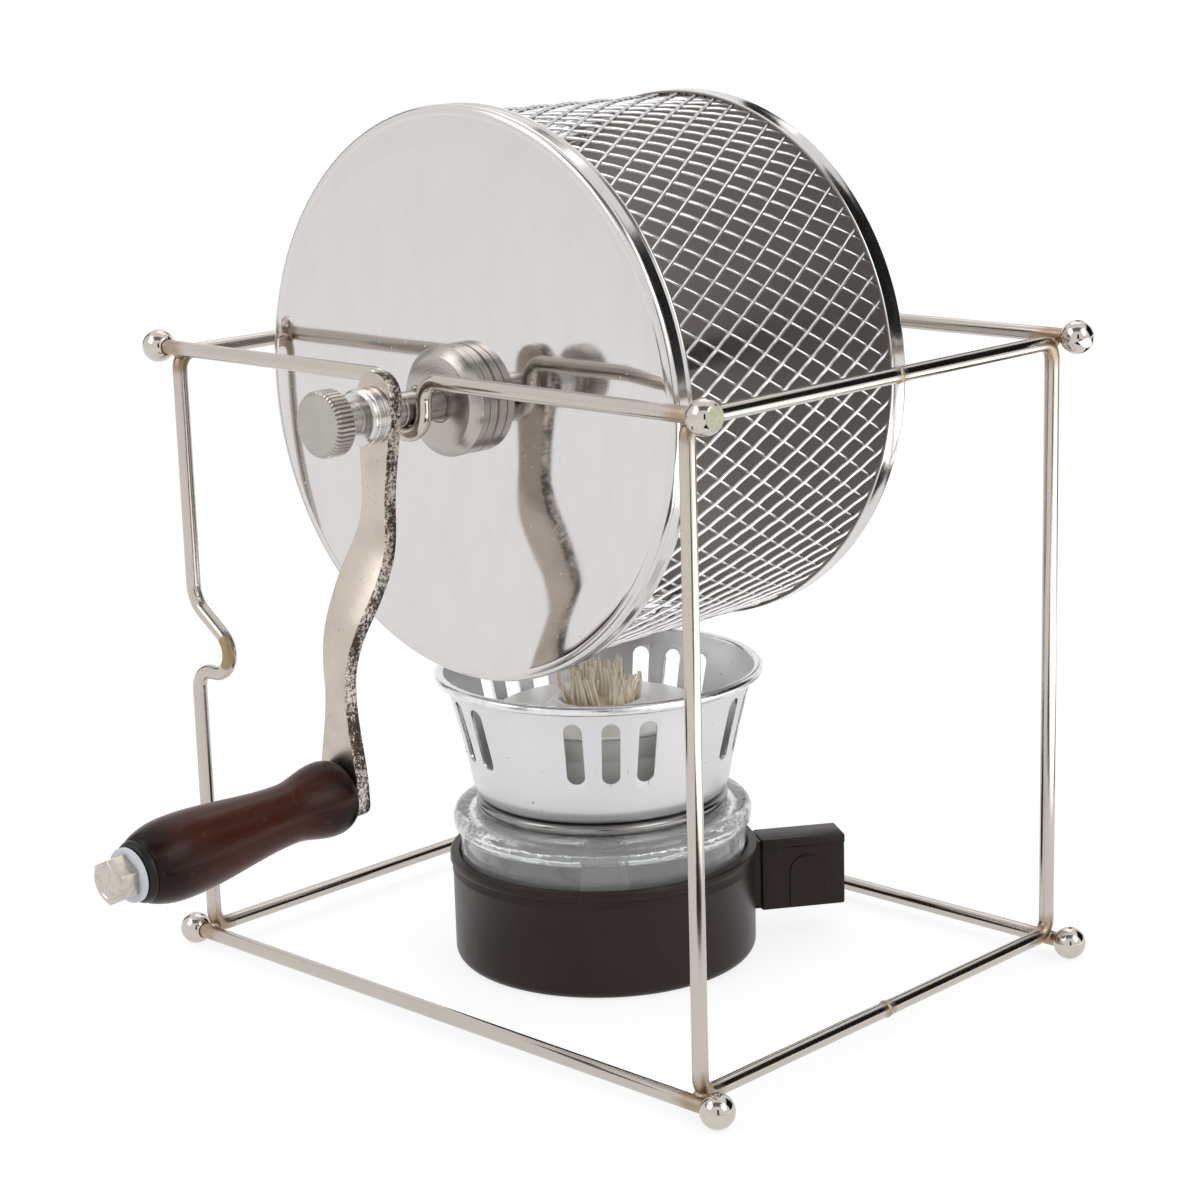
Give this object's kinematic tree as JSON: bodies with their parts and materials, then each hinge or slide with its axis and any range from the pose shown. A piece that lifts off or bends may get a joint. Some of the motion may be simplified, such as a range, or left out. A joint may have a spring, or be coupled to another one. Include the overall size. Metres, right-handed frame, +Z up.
{
  "type": "stovetop coffee bean roaster",
  "caption": "Hand-cranked coffee bean roaster: a wire mesh drum with steel ends turns in a welded wire stand over a small alcohol burner with a slotted wind shield.",
  "frame": {"origin": "centre of the stand's footprint, at the level of the table", "axes": "+Z up; -Y towards the crank, along the drum's axis; +X along the stand's rods, to the right seen from the crank"},
  "size_m": [0.2048, 0.2471, 0.2353],
  "materials": {
    "stand_wire": "nickel-plated wire, softly polished",
    "turned_steel": "turned stainless steel",
    "mirror_steel": "mirror-polished stainless sheet",
    "mesh_wire": "plain steel wire, crimped",
    "cast_nickel": "nickel-plated casting with fine pits",
    "bolt_nickel": "nickel-plated hexagon bolt",
    "dark_wood": "dark reddish stain under gloss lacquer",
    "black_ring": "black end ring",
    "pale_washer": "pale grey plastic",
    "brown_plastic": "satin moulded phenolic",
    "clear_glass": "clear pressed glass",
    "clear_fuel": "clear alcohol",
    "white_ceramic": "white glazed ceramic",
    "cotton_wick": "frayed cotton strands",
    "dark_ring": "polished steel ring",
    "shield_aluminium": "matte spun aluminium with a bright rolled rim"
  },
  "bodies": {
    "stand": {"top_front_rod": "stand_wire", "top_back_rod": "stand_wire", "bottom_front_rod": "stand_wire", "bottom_back_rod": "stand_wire", "right_loop": "stand_wire", "left_loop": "stand_wire", "top_front_left_ball": "stand_wire", "top_front_right_ball": "stand_wire", "top_back_left_ball": "stand_wire", "top_back_right_ball": "stand_wire", "bottom_front_left_ball": "stand_wire", "bottom_front_right_ball": "stand_wire", "bottom_back_left_ball": "stand_wire", "bottom_back_right_ball": "stand_wire"},
    "drum": {"drum_shaft": "turned_steel", "front_pin": "turned_steel", "back_pin": "turned_steel", "front_lid": "mirror_steel", "front_hoop": "mirror_steel", "outer_mesh_wires": "mesh_wire", "inner_mesh_wires": "mesh_wire", "back_plate": "mirror_steel", "hub_nut": "turned_steel", "back_hub": "turned_steel", "crank_arm": "cast_nickel", "crank_collar": "turned_steel", "grip_bolt": "bolt_nickel", "grip_washer": "pale_washer"},
    "thumb_screw": {"thumb_screw": "turned_steel"},
    "grip": {"grip": "dark_wood", "grip_ferrule": "black_ring"},
    "burner": {"burner_base": "brown_plastic"},
    "jar": {"fuel_jar": "clear_glass", "fuel": "clear_fuel", "mouth_cap": "white_ceramic", "wick_holder": "white_ceramic", "wick": "cotton_wick", "shield_ring": "dark_ring"},
    "wind_shield": {"wind_shield": "shield_aluminium"}
  },
  "joints": [
    {"name": "drum_spin", "type": "hinge", "parent": "stand", "child": "drum", "pos_m": [0, 0, 0.16251], "axis": [0, -1, 0], "continuous": true},
    {"name": "thumb_screw_turn", "type": "hinge", "parent": "drum", "child": "thumb_screw", "pos_m": [0, -0.09, 0.16251], "axis": [0, -1, 0], "range_deg": [0, 270]},
    {"name": "grip_spin", "type": "hinge", "parent": "drum", "child": "grip", "pos_m": [-0.00749, -0.09399, 0.0673], "axis": [-0.0048, -0.9981, -0.0609], "continuous": true},
    {"name": "burner_slide", "type": "slide", "parent": "stand", "child": "burner", "axis": [1, 0, 0], "range_m": [-0.038, 0.038]},
    {"name": "jar_lift", "type": "slide", "parent": "burner", "child": "jar", "axis": [0, 0, 1], "range_m": [0, 0.004]},
    {"name": "shield_turn", "type": "hinge", "parent": "jar", "child": "wind_shield", "pos_m": [-0.0062, -0.0008, 0.046], "axis": [0, 0, 1], "continuous": true}
  ]
}
